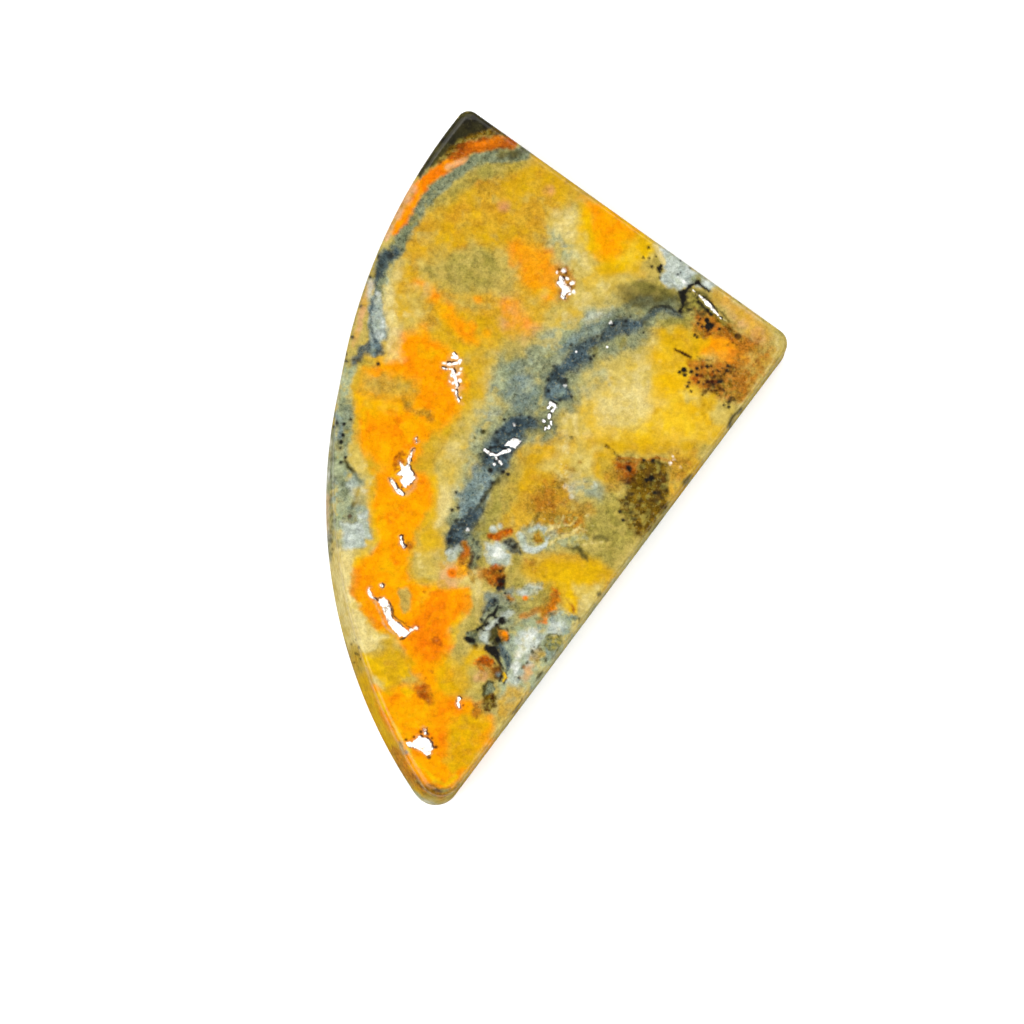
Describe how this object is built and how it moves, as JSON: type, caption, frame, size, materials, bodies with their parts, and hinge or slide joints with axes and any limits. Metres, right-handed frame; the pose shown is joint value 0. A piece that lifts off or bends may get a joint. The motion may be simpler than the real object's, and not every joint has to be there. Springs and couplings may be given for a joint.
{
  "type": "polished stone cabochon",
  "caption": "Flat freeform stone cabochon with one curved and two straight sides, a polished banded orange, yellow and slate face and small crystal-lined pits.",
  "frame": {"origin": "middle of the bounding box, on the flat back", "axes": "+Z out of the polished face, +Y towards the dark point, +X towards the square corner"},
  "size_m": [0.0302, 0.0454, 0.0045],
  "materials": {
    "stone": "polished, banded orange, yellow, grey-green and slate"
  },
  "bodies": {
    "root": {"cabochon": "stone"}
  },
  "joints": []
}
